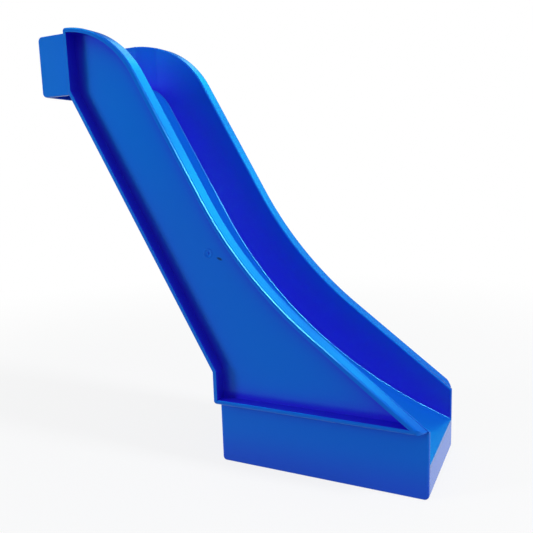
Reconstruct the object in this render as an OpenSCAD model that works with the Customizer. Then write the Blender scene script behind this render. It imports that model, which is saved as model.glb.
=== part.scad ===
/* [Brick grid] */
// Distance between neighbouring studs
stud_pitch = 16; // [15.6:0.1:16.4]
// Diameter of the studs that the sockets take
stud_diameter = 9.6; // [9.3:0.1:9.8]
// Height of one brick without its studs
brick_height = 19.2; // [18.8:0.1:19.6]
// Play between a brick's outside and the stud grid, on each side
grid_play = 0.1; // [0.05:0.05:0.2]

/* [Overall] */
// Length of the slide over its hook, in stud pitches
studs_long = 8; // [7:1:9]
// Height of the tower that the hook sits on, in bricks
tower_bricks = 6; // [5:1:7]
// How far each side web stands out past the hook's cheek
side_step = 1.8; // [1:0.1:6]

/* [Rails] */
// Slope of the steep straight run, below the horizontal
steep_angle = 60.7; // [58:0.1:63]
// Slope of the straight run-out at the front, below the horizontal
run_out_angle = 37.6; // [35:0.1:39]
// Radius of the crest where the level rail tops turn down
rail_crest_radius = 30; // [26:0.5:34]
// Radius of the long hollow bend between the steep run and the run-out
hollow_radius = 125; // [110:1:135]
// Height of the rail line where it reaches the front face
rail_front_height = 19.3; // [18:0.1:19.6]
// Thickness of the ribs that frame the side webs
rib_thickness = 1.4; // [1:0.1:2]
// How far the framing ribs stand out from the side webs
rib_depth = 4; // [2:0.1:6]
// How far the outer ends of the ribs are cut back at the front corners
tip_setback = 2; // [0.5:0.1:4]
// Height above the base walls at which the diagonal ribs reach the rear heel
heel_height = 10; // [6:0.1:16]
// Corner radius of the ribs and of the hook's cheeks, seen from the side
corner_radius = 1; // [0.5:0.1:1.3]

/* [Chute] */
// Depth of the chute bed below the rail line on the steep run, square to the slope
chute_depth = 15.45; // [14:0.05:17]
// Radius of the hollow bend of the chute bed
bed_hollow_radius = 140.5; // [125:0.5:150]
// Height of the chute bed where it reaches the front face
bed_front_height = 9.7; // [8:0.1:12]
// Radius of the crest of the chute bed
bed_crest_radius = 16.5; // [14:0.5:18]
// Thickness of the chute bed and of the hook's floor
bed_thickness = 1.4; // [1:0.1:2]
// Thickness of the side webs and of the base's side walls
web_thickness = 1.2; // [1:0.1:2]

/* [Base] */
// Height of the base walls up to the bottom ribs
base_height = 19.7; // [19:0.1:21]
// Thickness of the base's front and rear walls
end_wall_thickness = 1.3; // [1:0.1:2]
// Thickness of the deck that closes the stud socket of the base
deck_thickness = 1.4; // [1:0.1:2]
// Radius of the upright corners of the base
base_corner_radius = 1.2; // [0.5:0.1:1.2]

/* [Hook] */
// Height of the hook's floor above its underside
hook_floor_height = 5.8; // [5.2:0.1:8]
// Thickness of the hook's cheeks and cross walls
hook_wall_thickness = 1.3; // [1:0.1:1.6]

/* [Clutch] */
// Wall thickness of the clutch tubes
tube_wall = 1.2; // [0.8:0.1:2]
// Thickness of the grip ribs
grip_rib_thickness = 1; // [0.6:0.1:1.6]
// Height by which the grip ribs stop short of the open side, as a lead-in
grip_lead_in = 1; // [0.5:0.1:2]

/* [Hidden] */

PLASTIC_BLUE = [0.03, 0.34, 0.82];
LEFT = 1;
RIGHT = -1;
BASE_ROWS = 4;
HOOK_ROWS = 1;
SMOOTH_FN = 360;
BEND_BITE = 0.002;
RUN_OVERLAP = 1.5;

// Lengths on the brick grid
overall_length = studs_long * stud_pitch - 2 * grid_play;
base_length = BASE_ROWS * stud_pitch - 2 * grid_play;
hook_length = HOOK_ROWS * stud_pitch;

// Levels on the brick grid
hook_seat_height = tower_bricks * brick_height;
rail_top_height = hook_seat_height + brick_height;
bed_level = hook_seat_height + hook_floor_height;

// Stations along the slide: 0 is the front face and the rear is negative
hook_rear_x = -overall_length;
web_rear_x = hook_rear_x + hook_length;
heel_x = -base_length;

// Half widths, outwards from the centre plane
hook_outer_y = stud_pitch - grid_play;
hook_inner_y = hook_outer_y - hook_wall_thickness;
web_outer_y = hook_outer_y + side_step;
web_inner_y = web_outer_y - web_thickness;
rib_outer_y = web_outer_y + rib_depth;

// Unit vectors down the steep run and square to it, as [along, up]
steep_dir = [cos(steep_angle), -sin(steep_angle)];
steep_normal = [sin(steep_angle), cos(steep_angle)];
run_out_dir = [cos(run_out_angle), -sin(run_out_angle)];
run_out_normal = [sin(run_out_angle), cos(run_out_angle)];
diagonal_angle = atan2(hook_seat_height - base_height - heel_height, heel_x - web_rear_x);

// The rail line: level top, crest arc, steep run, hollow arc and run-out
steep_corner = [web_rear_x + rail_crest_radius * tan(steep_angle / 2), rail_top_height];
run_out_end = [0, rail_front_height];
hollow_corner = crossing(steep_corner, steep_dir, run_out_end, run_out_dir);
hollow_tangent = hollow_radius * tan((steep_angle - run_out_angle) / 2);
hollow_centre = hollow_corner - hollow_tangent * steep_dir + hollow_radius * steep_normal;

// The bed's hollow arc runs on from the steep run and passes through the bed's front end
bed_axis_start = steep_corner + (bed_hollow_radius - chute_depth) * steep_normal;
bed_front_offset = [0, bed_front_height] - bed_axis_start;
bed_axis_shift = bed_front_offset * steep_dir
    - sqrt(bed_hollow_radius ^ 2 - (bed_front_offset * steep_normal) ^ 2);
bed_centre = bed_axis_start + bed_axis_shift * steep_dir;

// Stud rows below the base and below the hook
first_stud_x = grid_play - stud_pitch / 2;
stud_rows = [for (row = [0:BASE_ROWS - 1]) first_stud_x - row * stud_pitch];
stud_y = stud_pitch / 2;
stud_radius = stud_diameter / 2;
hook_stud_x = hook_rear_x - grid_play + stud_pitch / 2;
tube_outer_radius = (stud_pitch * sqrt(2) - stud_diameter) / 2;
pin_radius = (stud_pitch - stud_diameter) / 2;
deck_underside = base_height - deck_thickness;

$fn = SMOOTH_FN;

// Where the line through a along u meets the line through b along v
function crossing(a, u, b, v) =
    let (t = ((b[0] - a[0]) * v[1] - (b[1] - a[1]) * v[0]) / (u[0] * v[1] - u[1] * v[0]))
    a + t * u;

// Extrudes a side-view outline across the slide, from one width to another
module across(y_from, y_to) {
    translate([overall_length / 2, y_to, 0])
        rotate([90, 0, 0])
            linear_extrude(y_to - y_from)
                children();
}

// The same on one side of the centre plane
module on_side(side, y_inner, y_outer) {
    if (side == LEFT) across(y_inner, y_outer) children();
    else across(-y_outer, -y_inner) children();
}

// Extrudes a plan outline upwards
module upwards(z_from, z_to) {
    translate([overall_length / 2, 0, z_from])
        linear_extrude(z_to - z_from)
            children();
}

module box_between(low, high) {
    translate(low) square(high - low);
}

// Rounds one outer corner of an outline; inward points from the corner into the material
module round_corner(corner, inward, radius) {
    centre = corner + radius * inward;
    low = [min(corner[0], centre[0]), min(corner[1], centre[1])];
    difference() {
        children();
        translate(low) square(radius);
    }
    intersection() {
        translate(centre) circle(radius);
        translate(low) square(radius);
    }
}

// Everything below a level top that turns down over a crest and runs straight past bend_start
module below_crest(level, crest_radius, bend_start) {
    run_end = bend_start + RUN_OVERLAP * steep_dir;
    corner = crossing([0, level], [1, 0], bend_start, steep_dir);
    reach = crest_radius * tan(steep_angle / 2);
    crest_start = corner - [reach, 0];
    crest_end = corner + reach * steep_dir;
    centre = crest_start - [0, crest_radius];
    polygon([
        [hook_rear_x, 0], [run_end[0], 0], run_end,
        crest_end, crest_start, [hook_rear_x, level]
    ]);
    intersection() {
        translate(centre) circle(crest_radius);
        polygon([centre, crest_end, corner, crest_start]);
    }
}

// Everything below a hollow arc, from the steep run to where it is square to end_normal.
// The arc bites into the straight runs a little, so that it crosses them cleanly.
module below_hollow(centre, radius, end_normal) {
    bend_foot = centre - (radius + RUN_OVERLAP) * steep_normal;
    bend_end = centre - radius * end_normal;
    difference() {
        polygon([[web_rear_x, 0], [bend_end[0], 0], bend_end, centre, bend_foot]);
        translate(centre) circle(radius + BEND_BITE, $fn = 2 * SMOOTH_FN);
    }
}

// Everything below the rail line, moved inwards by drop
module below_rail(drop = 0) {
    radius = hollow_radius + drop;
    run_out_start = hollow_centre - radius * run_out_normal - RUN_OVERLAP * run_out_dir;
    run_out_stop = crossing(run_out_start, run_out_dir, [0, 0], [0, 1]);
    below_crest(rail_top_height - drop, rail_crest_radius - drop,
        hollow_centre - radius * steep_normal);
    below_hollow(hollow_centre, radius, run_out_normal);
    polygon([[web_rear_x, 0], [0, 0], run_out_stop, run_out_start]);
}

// Everything below the chute bed's top, moved inwards by drop
module below_bed(drop = 0) {
    radius = bed_hollow_radius + drop;
    intersection() {
        union() {
            below_crest(bed_level - drop, bed_crest_radius - drop,
                bed_centre - radius * steep_normal);
            below_hollow(bed_centre, radius, [0, 1]);
        }
        box_between([hook_rear_x, 0], [0, rail_top_height]);
    }
}

module bed_band() {
    difference() {
        below_bed();
        below_bed(bed_thickness);
    }
}

// Height of the diagonal rear edge at one station, moved inwards by inset
function diagonal_height(x, inset) =
    hook_seat_height - (x - web_rear_x) * tan(diagonal_angle) + inset / cos(diagonal_angle);

// Everything in front of the rear edges, moved inwards by inset
module ahead_of_rear(inset = 0) {
    rear = web_rear_x + inset;
    heel = heel_x + inset;
    polygon([
        [rear, rail_top_height], [rear, diagonal_height(rear, inset)],
        [heel, diagonal_height(heel, inset)], [heel, 0], [0, 0], [0, rail_top_height]
    ]);
}

module above_base() {
    box_between([hook_rear_x, base_height], [0, rail_top_height]);
}

// The side web's outline, which the ribs frame
module web_outline() {
    round_corner([web_rear_x, rail_top_height], [1, -1], corner_radius)
        intersection() {
            below_rail();
            ahead_of_rear();
            above_base();
        }
}

// The part of an outline that lies inside the diagonal rib's band
module diagonal_band() {
    difference() {
        polygon([
            [web_rear_x, diagonal_height(web_rear_x, 0)],
            [heel_x, diagonal_height(heel_x, 0)],
            [heel_x, diagonal_height(heel_x, rib_thickness)],
            [web_rear_x, diagonal_height(web_rear_x, rib_thickness)]
        ]);
        box_between([heel_x, 0], [0, base_height + rib_thickness]);
    }
}

// Plan of the ribs on both sides, cut back towards the web at the front corners
module rib_plan() {
    polygon([
        [hook_rear_x, -rib_outer_y], [-tip_setback, -rib_outer_y], [0, -web_outer_y],
        [0, web_outer_y], [-tip_setback, rib_outer_y], [hook_rear_x, rib_outer_y]
    ]);
}

module rib(side) {
    intersection() {
        on_side(side, web_outer_y, rib_outer_y) children();
        upwards(0, rail_top_height) rib_plan();
    }
}

// Plan of the base, with its upright corners rounded
module base_plan() {
    round_corner([0, web_outer_y], [-1, -1], base_corner_radius)
        round_corner([0, -web_outer_y], [-1, 1], base_corner_radius)
            round_corner([heel_x, web_outer_y], [1, -1], base_corner_radius)
                round_corner([heel_x, -web_outer_y], [1, 1], base_corner_radius)
                    box_between([heel_x, -web_outer_y], [0, web_outer_y]);
}

module side_web(side) {
    on_side(side, web_inner_y, web_outer_y) web_outline();
}

module rail_rim(side) {
    rib(side) difference() {
        web_outline();
        below_rail(rib_thickness);
    }
}

module rear_rib(side) {
    rib(side) difference() {
        intersection() {
            below_rail(rib_thickness);
            box_between([web_rear_x, hook_seat_height], [web_rear_x + rib_thickness, rail_top_height]);
        }
        diagonal_band();
    }
}

module diagonal_rib(side) {
    rib(side) diagonal_band();
}

module heel_rib(side) {
    rib(side) difference() {
        box_between([heel_x, base_height + rib_thickness],
            [heel_x + rib_thickness, diagonal_height(heel_x, 0)]);
        diagonal_band();
    }
}

module bottom_rib(side) {
    rib(side)
        round_corner([heel_x, base_height], [1, 1], corner_radius)
            intersection() {
                below_rail(rib_thickness);
                box_between([heel_x, base_height], [0, base_height + rib_thickness]);
            }
}

module base_side_wall(side) {
    intersection() {
        on_side(side, web_inner_y, web_outer_y) intersection() {
            below_rail();
            box_between([heel_x, 0], [0, base_height]);
        }
        upwards(0, base_height) base_plan();
    }
}

module base_end_wall(x_from, x_to) {
    across(-web_inner_y, web_inner_y) intersection() {
        below_bed(bed_thickness);
        box_between([x_from, 0], [x_to, base_height]);
    }
}

// Everything inside the base's stud socket, below the deck and below the bed
module socket_space(z_from = 0) {
    across(-web_inner_y, web_inner_y) intersection() {
        below_bed(bed_thickness);
        box_between([heel_x, z_from], [0, deck_underside]);
    }
}

// One clutch tube, centred among four studs
module clutch_tube(x) {
    intersection() {
        upwards(0, deck_underside) translate([x, 0]) difference() {
            circle(tube_outer_radius);
            circle(tube_outer_radius - tube_wall);
        }
        socket_space();
    }
}

// Ribs that reach from a side wall to the studs, one for each row
module side_grip_ribs(side) {
    y_inner = stud_y + stud_radius;
    for (x = stud_rows) intersection() {
        on_side(side, y_inner, web_inner_y)
            box_between([x - grip_rib_thickness / 2, grip_lead_in],
                [x + grip_rib_thickness / 2, deck_underside]);
        socket_space(grip_lead_in);
    }
}

// Ribs that reach from an end wall to the nearest studs
module end_grip_ribs(x_from, x_to, z_from, z_to) {
    for (side = [RIGHT, LEFT])
        on_side(side, stud_y - grip_rib_thickness / 2, stud_y + grip_rib_thickness / 2)
            intersection() {
                below_bed(bed_thickness);
                box_between([x_from, z_from], [x_to, z_to]);
            }
}

// A cheek of the hook: a flat wall with its two rear corners rounded
module hook_cheek(side) {
    on_side(side, hook_inner_y, hook_outer_y)
        round_corner([hook_rear_x, rail_top_height], [1, -1], corner_radius)
            round_corner([hook_rear_x, hook_seat_height], [1, 1], corner_radius)
                box_between([hook_rear_x, hook_seat_height], [web_rear_x, rail_top_height]);
}

// A cross wall of the hook's stud socket, below the floor
module hook_cross_wall(x_from, x_to) {
    across(-hook_inner_y, hook_inner_y) intersection() {
        below_bed(bed_thickness);
        box_between([x_from, hook_seat_height], [x_to, bed_level]);
    }
}

// The step that joins a cheek of the hook to the wider side web
module hook_jamb(side) {
    on_side(side, hook_inner_y, web_inner_y) difference() {
        intersection() {
            web_outline();
            box_between([web_rear_x, hook_seat_height], [web_rear_x + rib_thickness, rail_top_height]);
        }
        bed_band();
    }
}

module chute_bed() color(PLASTIC_BLUE)
    across(-web_inner_y, web_inner_y) intersection() {
        bed_band();
        box_between([web_rear_x, 0], [0, rail_top_height]);
    }

module left_side_web() color(PLASTIC_BLUE) side_web(LEFT);
module right_side_web() color(PLASTIC_BLUE) side_web(RIGHT);
module left_rail_rim() color(PLASTIC_BLUE) rail_rim(LEFT);
module right_rail_rim() color(PLASTIC_BLUE) rail_rim(RIGHT);
module left_rear_rib() color(PLASTIC_BLUE) rear_rib(LEFT);
module right_rear_rib() color(PLASTIC_BLUE) rear_rib(RIGHT);
module left_diagonal_rib() color(PLASTIC_BLUE) diagonal_rib(LEFT);
module right_diagonal_rib() color(PLASTIC_BLUE) diagonal_rib(RIGHT);
module left_heel_rib() color(PLASTIC_BLUE) heel_rib(LEFT);
module right_heel_rib() color(PLASTIC_BLUE) heel_rib(RIGHT);
module left_bottom_rib() color(PLASTIC_BLUE) bottom_rib(LEFT);
module right_bottom_rib() color(PLASTIC_BLUE) bottom_rib(RIGHT);
module base_left_wall() color(PLASTIC_BLUE) base_side_wall(LEFT);
module base_right_wall() color(PLASTIC_BLUE) base_side_wall(RIGHT);

module base_front_wall() color(PLASTIC_BLUE) base_end_wall(-end_wall_thickness, 0);

module base_rear_wall() color(PLASTIC_BLUE)
    base_end_wall(heel_x, heel_x + end_wall_thickness);

module base_deck() color(PLASTIC_BLUE)
    across(-web_inner_y, web_inner_y) intersection() {
        below_bed(bed_thickness);
        box_between([heel_x + end_wall_thickness, deck_underside], [0, base_height]);
    }

module front_clutch_tube() color(PLASTIC_BLUE) clutch_tube(stud_rows[0] - stud_pitch / 2);
module middle_clutch_tube() color(PLASTIC_BLUE) clutch_tube(stud_rows[1] - stud_pitch / 2);
module rear_clutch_tube() color(PLASTIC_BLUE) clutch_tube(stud_rows[2] - stud_pitch / 2);
module left_grip_ribs() color(PLASTIC_BLUE) side_grip_ribs(LEFT);
module right_grip_ribs() color(PLASTIC_BLUE) side_grip_ribs(RIGHT);

module front_grip_ribs() color(PLASTIC_BLUE)
    end_grip_ribs(stud_rows[0] + stud_radius, -end_wall_thickness, grip_lead_in, deck_underside);

module rear_grip_ribs() color(PLASTIC_BLUE)
    end_grip_ribs(heel_x + end_wall_thickness, stud_rows[BASE_ROWS - 1] - stud_radius,
        grip_lead_in, deck_underside);

module hook_floor() color(PLASTIC_BLUE)
    across(-hook_inner_y, hook_inner_y) intersection() {
        bed_band();
        box_between([hook_rear_x, 0], [web_rear_x, rail_top_height]);
    }

module hook_left_cheek() color(PLASTIC_BLUE) hook_cheek(LEFT);
module hook_right_cheek() color(PLASTIC_BLUE) hook_cheek(RIGHT);

module hook_rear_wall() color(PLASTIC_BLUE)
    hook_cross_wall(hook_rear_x, hook_rear_x + hook_wall_thickness);

module hook_front_wall() color(PLASTIC_BLUE)
    hook_cross_wall(web_rear_x - hook_wall_thickness, web_rear_x);

module left_hook_jamb() color(PLASTIC_BLUE) hook_jamb(LEFT);
module right_hook_jamb() color(PLASTIC_BLUE) hook_jamb(RIGHT);

module hook_clutch_pin() color(PLASTIC_BLUE)
    upwards(hook_seat_height, bed_level - bed_thickness)
        translate([hook_stud_x, 0]) circle(pin_radius);

module hook_grip_ribs() color(PLASTIC_BLUE) {
    z_from = hook_seat_height + grip_lead_in;
    z_to = bed_level - bed_thickness;
    end_grip_ribs(hook_rear_x + hook_wall_thickness, hook_stud_x - stud_radius, z_from, z_to);
    end_grip_ribs(hook_stud_x + stud_radius, web_rear_x - hook_wall_thickness, z_from, z_to);
    for (side = [RIGHT, LEFT])
        on_side(side, stud_y + stud_radius, hook_inner_y)
            box_between([hook_stud_x - grip_rib_thickness / 2, z_from],
                [hook_stud_x + grip_rib_thickness / 2, z_to]);
}

chute_bed();
left_side_web();
right_side_web();
left_rail_rim();
right_rail_rim();
left_rear_rib();
right_rear_rib();
left_diagonal_rib();
right_diagonal_rib();
left_heel_rib();
right_heel_rib();
left_bottom_rib();
right_bottom_rib();
base_left_wall();
base_right_wall();
base_front_wall();
base_rear_wall();
base_deck();
front_clutch_tube();
middle_clutch_tube();
rear_clutch_tube();
left_grip_ribs();
right_grip_ribs();
front_grip_ribs();
rear_grip_ribs();
hook_floor();
hook_left_cheek();
hook_right_cheek();
hook_rear_wall();
hook_front_wall();
left_hook_jamb();
right_hook_jamb();
hook_clutch_pin();
hook_grip_ribs();
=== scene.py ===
"""Toy slide for large toy bricks, dressed over its frame: one blue moulding in many pieces."""

import math

import bmesh
import bpy
from mathutils import Matrix, Vector


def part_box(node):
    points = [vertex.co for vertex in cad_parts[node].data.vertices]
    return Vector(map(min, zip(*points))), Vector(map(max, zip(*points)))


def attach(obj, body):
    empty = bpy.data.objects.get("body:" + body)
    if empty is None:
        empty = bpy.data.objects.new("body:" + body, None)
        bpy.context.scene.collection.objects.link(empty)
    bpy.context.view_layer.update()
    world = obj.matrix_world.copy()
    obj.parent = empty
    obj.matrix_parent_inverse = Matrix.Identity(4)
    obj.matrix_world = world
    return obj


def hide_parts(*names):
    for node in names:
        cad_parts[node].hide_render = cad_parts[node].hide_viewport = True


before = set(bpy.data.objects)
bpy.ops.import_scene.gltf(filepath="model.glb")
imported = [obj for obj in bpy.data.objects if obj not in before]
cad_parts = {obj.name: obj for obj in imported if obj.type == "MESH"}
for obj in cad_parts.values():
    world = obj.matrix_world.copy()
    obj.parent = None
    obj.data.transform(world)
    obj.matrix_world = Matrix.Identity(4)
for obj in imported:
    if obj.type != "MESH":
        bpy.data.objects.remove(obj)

bl_info = {
    "name": "Toy Slide",
    "version": (1, 0, 0),
    "blender": (4, 5, 0),
    "location": "View3D > Sidebar > Toy Slide",
    "description": "Builds the visible pieces of a moulded toy slide over its frame",
    "category": "Object",
}

MM = 0.001
BURY = 0.02 * MM  # how far pieces reach into each other
SKIN = 0.01 * MM  # how far a piece stays under another's face
NEAR = 0.001 * MM
WELD = 0.0002 * MM
SHARP = math.radians(32)  # the least turn that shows as an edge

# Levels and stations of the frame, in metres
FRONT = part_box("chute_bed")[1].x
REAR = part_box("hook_floor")[0].x
WEB_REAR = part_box("right_side_web")[0].x
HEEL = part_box("base_right_wall")[0].x
RAIL_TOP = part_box("right_side_web")[1].z
BASE_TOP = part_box("base_right_wall")[1].z
HEEL_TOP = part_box("right_heel_rib")[1].z
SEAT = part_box("hook_right_cheek")[0].z
BED_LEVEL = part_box("hook_floor")[1].z
DECK_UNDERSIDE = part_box("base_deck")[0].z
HOOK_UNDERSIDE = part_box("hook_rear_wall")[1].z
PLATE_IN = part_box("left_side_web")[0].y
PLATE_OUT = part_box("left_side_web")[1].y
RIB_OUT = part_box("left_rail_rim")[1].y
HOOK_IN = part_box("hook_left_cheek")[0].y
HOOK_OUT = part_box("hook_left_cheek")[1].y
SIDES = {"left": 1, "right": -1}
STUD_ROW = 8 * MM  # from the middle to each row of studs

# Stations of the side grip ribs behind the front face, in millimetres
SIDE_RIBS = (-7.4, -23.4, -39.4, -55.4)

# Front ends of the ribs in plan: (behind the front face, out from the plate), in millimetres
RIB_END = (
    (-0.35, 0), (-0.7, 1.1), (-1.2, 2.2), (-1.8, 3.1), (-2.4, 3.65), (-3.1, 3.95), (-3.9, 4.02),
)

# The gate mark: its centre, and its profile as (radius, height) in millimetres
GATE = Vector((FRONT - 65.6 * MM, -PLATE_OUT, 65.2 * MM))
GATE_PROFILE = (
    (0.01, 0.16), (0.25, 0.16), (0.40, 0.10), (0.46, 0.01), (1.05, 0.01),
    (1.20, 0.09), (1.40, 0.09), (1.60, 0.0), (1.62, -0.05),
)
NICK = Vector((FRONT - 61.7 * MM, -PLATE_OUT, 63.7 * MM))
NICK_SIZE = (1.3 * MM, 0.3 * MM, 0.5 * MM)
NICK_TURN = math.radians(-20)

# Directions in the side view, x forwards and z up
AHEAD, BACK = Vector((1, 0)), Vector((-1, 0))
UP, DOWN = Vector((0, 1)), Vector((0, -1))

WHITE, CYAN, SKY, FROST = (1, 1, 1), (0.0, 0.9, 0.97), (0.22, 0.8, 1.0), (0.9, 0.9, 1.0)

# Lamps, each with its name, place, target, size, power and tint
MATT_LAMPS = (
    ("Key lamp", (-0.72, -0.62, 0.26), (0, 0, 0.07), (0.24, 0.46), 3.6, WHITE),
    ("Top lamp", (0.70, 0.0, 0.62), (0, 0, 0.05), (0.16, 0.50), 4.6, WHITE),
)
GLOSS_LAMPS = (
    ("Foot edge lamp", (-0.43, -0.30, 0.74), (0, 0, 0.03), (0.36, 0.36), 2.4, CYAN),
    ("Line lamp", (0.098, -0.136, 0.19), (-0.01, -0.02, 0.07), (0.036, 0.036), 1.1, FROST),
    ("Low line lamp", (0.46, -0.36, 0.70), (0.04, 0, 0.02), (0.28, 0.28), 1.3, SKY),
    ("Rail lamp", (0.34, 0.80, 0.51), (0, 0, 0.055), (0.26, 0.26), 1.1, CYAN),
    ("Upper rail lamp", (0.08, 0.78, 0.70), (-0.02, 0, 0.11), (0.34, 0.34), 1.3, CYAN),
    ("Crest lamp", (-0.19, 0.60, 0.60), (-0.03, 0, 0.126), (0.28, 0.28), 0.55, SKY),
    ("Sheen lamp", (-0.60, -0.62, 0.18), (0, 0, 0.09), (0.40, 0.30), 0.35, CYAN),
)


# ---- sizes and colours


def length(name, description, default):
    return bpy.props.FloatProperty(
        name=name, description=description, default=default * MM,
        min=0, precision=5, subtype="DISTANCE", unit="LENGTH",
    )


def labelled(make, **options):
    """A kind of property, given a name, a description and a default"""
    return lambda name, description, default: make(
        name=name, description=description, default=default, **options)


angle = labelled(bpy.props.FloatProperty, subtype="ANGLE", unit="ROTATION")
colour = labelled(bpy.props.FloatVectorProperty, size=3, min=0, max=1, subtype="COLOR")
fraction = labelled(bpy.props.FloatProperty, min=0, max=1, subtype="FACTOR")


class SlideSizes(bpy.types.PropertyGroup):
    """Sizes of the moulding"""

    steep_angle: angle("Steep Angle", "Slope of the steep straight run", math.radians(60.7))
    run_out_angle: angle("Run-out Angle", "Slope of the rails at the front", math.radians(37.6))
    crest_radius: length("Crest Radius", "Radius of the rails' crest", 30)
    hollow_radius: length("Hollow Radius", "Radius of the rails' long hollow bend", 125)
    rail_front: length("Rail Front Height", "Height of the rail line at the front face", 19.3)
    bed_crest_radius: length("Bed Crest Radius", "Radius of the chute bed's crest", 16.5)
    bed_hollow_radius: length("Bed Hollow Radius", "Radius of the chute bed's hollow bend", 140.5)
    bed_front: length("Bed Front Height", "Height of the chute bed at the front face", 9.7)
    chute_depth: length("Chute Depth", "Depth of the bed below the rail line", 15.45)
    bed_thickness: length("Bed Thickness", "Thickness of the chute bed", 1.4)
    wall_thickness: length("End Wall Thickness", "Thickness of the base's end walls", 1.3)
    rib_thickness: length("Rib Thickness", "Thickness of the framing ribs", 1.4)
    rib_round: length("Rib Rounding", "Radius of the ribs' outer edges", 0.6)
    rib_edge: length("Rib Inner Rounding", "Radius of the ribs' edges towards the frame", 0.06)
    foot_edge: length("Foot Rib Rounding", "Radius of the foot rib's upper edge", 0.35)
    rib_fillet: length("Rib Fillet", "Radius where the ribs meet the plates", 0.02)
    plate_round: length("Plate Rounding", "Radius of the plates' inner top edges", 0.5)
    front_round: length("Front Rounding", "Radius of the plates' top front corners", 0.6)
    corner_round: length("Corner Rounding", "Radius of the frames' outer corners", 1)
    hook_round: length("Hook Rounding", "Radius of the hook's rear corners", 1.5)
    foot_round: length("Foot Rounding", "Radius of the base's lower corners", 1.25)
    upright_round: length("Upright Rounding", "Radius of the base's upright corners", 0.8)
    rim_round: length("Rim Rounding", "Radius of the open rims", 0.3)
    bed_fillet: length("Bed Fillet", "Radius where the bed meets the plates", 0.35)
    bed_lip: length("Bed Lip", "Radius of the bed's front edge", 0.45)
    grip_thickness: length("Grip Rib Thickness", "Thickness of the ribs that grip the studs", 1)
    grip_round: length("Grip Rib Rounding", "Radius of the grip ribs' upright edges", 0.25)
    tube_thickness: length("Tube Thickness", "Wall of the clutch tubes", 1.2)
    blend_length: length("Neck Blend", "Length over which the hook widens into the chute", 8)


class SlideFinish(bpy.types.PropertyGroup):
    """Colours and finish of the moulding and the stage"""

    plastic: colour("Plastic", "Colour of the blue plastic", (0.003, 0.136, 0.82))
    # Painted light: the bed is the same plastic, given a greener, less blue tone for the light that
    # falls on it
    bed: colour("Bed", "Colour of the plastic between the chute's walls", (0.004, 0.150, 0.72))
    # Painted shade: the deep blue mixed in where the chute's walls are closed in, standing for the
    # shade and blue bounce light there
    chute_painted_shade: colour("Chute Painted Shade", "Colour of the plastic in the chute", (0.045, 0.008, 0.88))
    # Painted shade: the deep blue mixed in where the side frames' corners are closed in beside the
    # ribs
    side_painted_shade: colour("Side Painted Shade", "Colour of the side frames' corners", (0.024, 0.015, 0.76))
    scratch: colour("Scratch", "Colour of the old nick in the right side", (0.002, 0.004, 0.16))
    roughness: fraction("Roughness", "Roughness of the plastic", 0.24)
    waviness: fraction("Waviness", "Depth of the moulded surface's slow waves", 0.12)
    floor: colour("Floor", "Colour of the floor", (0.82, 0.84, 0.86))
    bounce: colour("Bounce", "Colour of the light that the floor throws", (0.26, 0.27, 0.29))


# ---- side-view outlines


class Station:
    """One place on an outline; inset gives the point at a depth into the material"""

    def __init__(self, point, slant):
        self.point = Vector(point)
        self.slant = Vector(slant)

    def inset(self, depth):
        return self.point + depth * self.slant


class CornerStation(Station):
    """A place on a rounded outer corner"""

    def __init__(self, corner, slant, radius, spoke):
        super().__init__(corner, slant)
        self.radius = radius
        self.spoke = spoke

    def inset(self, depth):
        if depth >= self.radius:
            return super().inset(depth)
        return super().inset(self.radius) + (self.radius - depth) * self.spoke


def mitre(before, after):
    """Slant along which two inward normals meet"""
    return (before + after) / (1 + before.dot(after))


def rounded_corner(corner, before, after, radius, steps=8):
    """Stations round an outer corner, from the inward normal before it to the one after"""
    turn = before.angle_signed(after)
    stations = []
    for step in range(steps + 1):
        spoke = Matrix.Rotation(-turn * step / steps, 2) @ -before
        stations.append(CornerStation(corner, mitre(before, after), radius, spoke))
    return stations


def eased(corner, start, end, inner):
    """A corner's stations for a plate, whose outer round goes evenly from start to end"""
    last = len(corner) - 1
    return [
        (station, start + (end - start) * step / last, inner) for step, station in enumerate(corner)
    ]


def quarter(radius, steps):
    """A quarter round between two faces: how far in from the first and from the second"""
    turns = [math.pi / 2 * step / steps for step in range(steps + 1)]
    return [(radius * (1 - math.cos(turn)), radius * (1 - math.sin(turn))) for turn in turns]


def slope_normal(tilt):
    """Outward normal of a run that falls forwards at a tilt"""
    return Vector((math.sin(tilt), math.cos(tilt)))


def slope_line(tilt):
    return Vector((math.cos(tilt), -math.sin(tilt)))


def crossing(a, u, b, v):
    """Where the line through a along u meets the line through b along v"""
    gap = b - a
    return a + u * ((gap.x * v.y - gap.y * v.x) / (u.x * v.y - u.y * v.x))


def arc(centre, radius, start, end, steps, hollow=False):
    """Stations round an arc, by the run's tilt at each; a hollow arc's centre lies outside"""
    stations = []
    for step in range(steps + 1):
        normal = slope_normal(start + (end - start) * step / steps)
        reach = -radius if hollow else radius
        stations.append(Station(centre + reach * normal, -normal))
    return stations


def steep_start(sizes):
    """Where the steep run's line meets the level of the rails' top"""
    return Vector((WEB_REAR + sizes.crest_radius * math.tan(sizes.steep_angle / 2), RAIL_TOP))


def rail_centre(sizes):
    """Centre of the rails' hollow bend"""
    steep, shallow = slope_line(sizes.steep_angle), slope_line(sizes.run_out_angle)
    corner = crossing(steep_start(sizes), steep, Vector((FRONT, sizes.rail_front)), shallow)
    tangent = sizes.hollow_radius * math.tan((sizes.steep_angle - sizes.run_out_angle) / 2)
    return corner - tangent * steep + sizes.hollow_radius * slope_normal(sizes.steep_angle)


def rail_stations(sizes):
    """The rail line from just behind the crest to the start of the run-out"""
    crest = Vector((WEB_REAR, RAIL_TOP - sizes.crest_radius))
    centre, steep, first = rail_centre(sizes), sizes.steep_angle, math.radians(4)
    bend = arc(centre, sizes.hollow_radius, steep, sizes.run_out_angle, 72, hollow=True)
    return arc(crest, sizes.crest_radius, first, steep, 36) + bend


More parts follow.
